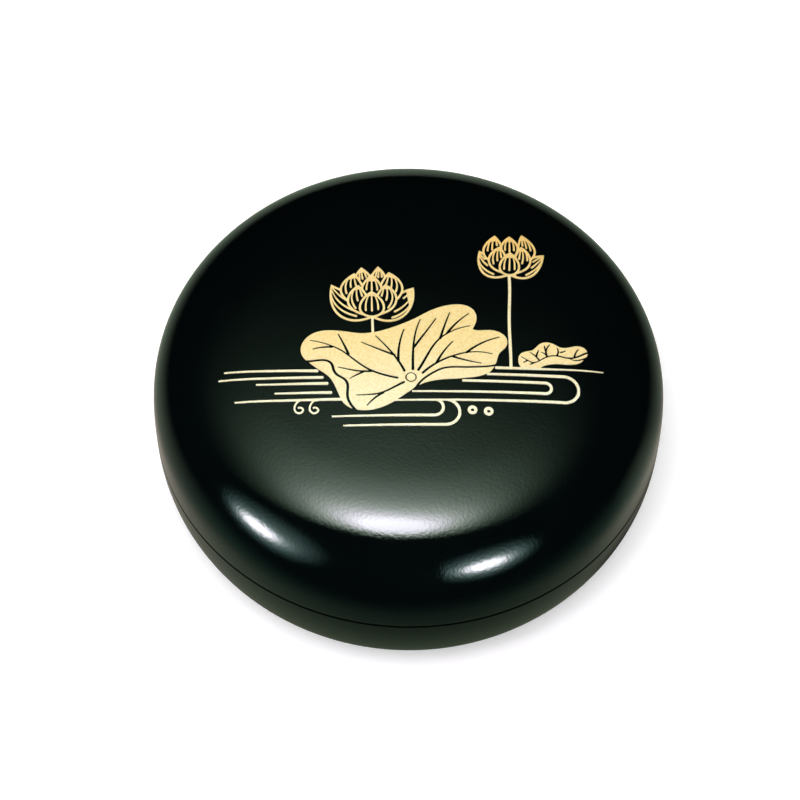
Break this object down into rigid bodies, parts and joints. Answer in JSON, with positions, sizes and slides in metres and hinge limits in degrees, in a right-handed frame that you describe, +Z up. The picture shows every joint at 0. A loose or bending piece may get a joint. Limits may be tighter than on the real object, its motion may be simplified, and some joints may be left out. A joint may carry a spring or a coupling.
{
  "type": "incense box",
  "caption": "Low round black lacquer incense box whose domed lid lifts off a thin rim in the base; a gold lotus pond with water lines lies raised on the lid.",
  "frame": {"origin": "middle of the foot, on the surface that the box stands on", "axes": "+Z up through the middle of the lid, +X to the right and +Y to the back as one looks at the lotus the right way up from the front, which is the -Y side"},
  "size_m": [0.076, 0.076, 0.0399],
  "materials": {
    "lacquer": "polished black lacquer",
    "rim_lacquer": "satin black lacquer",
    "gold": "fine grained pale gold",
    "warm_gold": "fine grained warm gold"
  },
  "bodies": {
    "base": {"base_shell": "lacquer", "locating_rim": "rim_lacquer"},
    "lid": {"lid_shell": "lacquer", "large_leaf": "gold", "large_leaf_left_fold": "gold", "large_leaf_right_fold": "gold", "large_leaf_eye": "gold", "left_flower": "gold", "left_flower_stem": "gold", "right_flower_stem": "gold", "water_line_1": "gold", "water_line_2": "gold", "water_line_3": "gold", "water_line_4": "gold", "water_line_5": "gold", "water_line_right": "gold", "outer_water_loop": "gold", "inner_water_loop": "gold", "inner_eddy": "gold", "outer_eddy": "gold", "water_curl_1": "gold", "water_curl_2": "gold", "water_drop_1": "gold", "water_drop_2": "gold", "small_leaf": "warm_gold", "small_leaf_fold": "warm_gold", "right_flower": "warm_gold"}
  },
  "joints": [
    {"name": "lid_lift", "type": "slide", "parent": "base", "child": "lid", "axis": [0, 0, 1], "range_m": [0, 0.06]}
  ]
}
